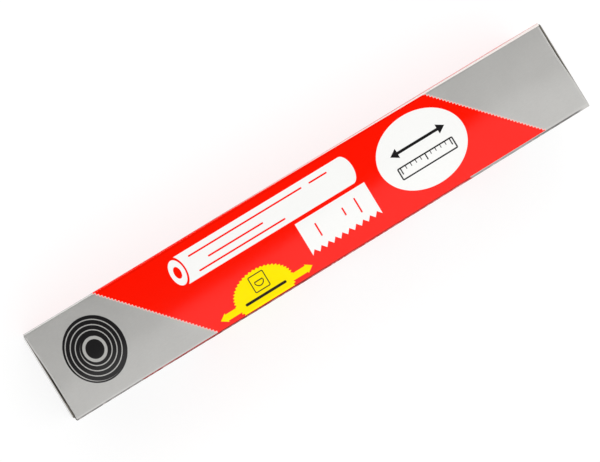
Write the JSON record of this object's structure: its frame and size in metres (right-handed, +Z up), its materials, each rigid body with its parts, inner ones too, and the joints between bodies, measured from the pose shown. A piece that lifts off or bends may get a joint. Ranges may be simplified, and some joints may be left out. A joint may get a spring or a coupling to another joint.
{
  "type": "aluminium foil roll in a dispenser carton",
  "caption": "Long square board carton with a hinged lid and a toothed cutter edge on its front flap, holding a roll of aluminium foil wound on a card tube.",
  "frame": {"origin": "on the floor, under the middle of the closed carton", "axes": "+X along the roll, -Y the front that the foil is pulled over, +Y the hinged back, +Z up through the lid's top"},
  "size_m": [0.308, 0.05, 0.05],
  "materials": {
    "tray_board": "silver print with a red band under gloss varnish, bare grey board inside",
    "lid_board": "red band on silver print under gloss varnish, bare grey board inside",
    "cutter_steel": "thin rolled tinplate, stamped teeth",
    "core_card": "spiral wound brown card",
    "foil": "bright rolled foil, slightly rippled"
  },
  "bodies": {
    "tray": {"carton_tray": "tray_board", "core_tube": "core_card", "foil_roll": "foil"},
    "lid": {"carton_lid": "lid_board", "cutter_strip": "cutter_steel"}
  },
  "joints": [
    {"name": "lid_hinge", "type": "hinge", "parent": "tray", "child": "lid", "pos_m": [0, 0.02505, 0.0488], "axis": [-1, 0, 0], "range_deg": [0, 180]}
  ]
}
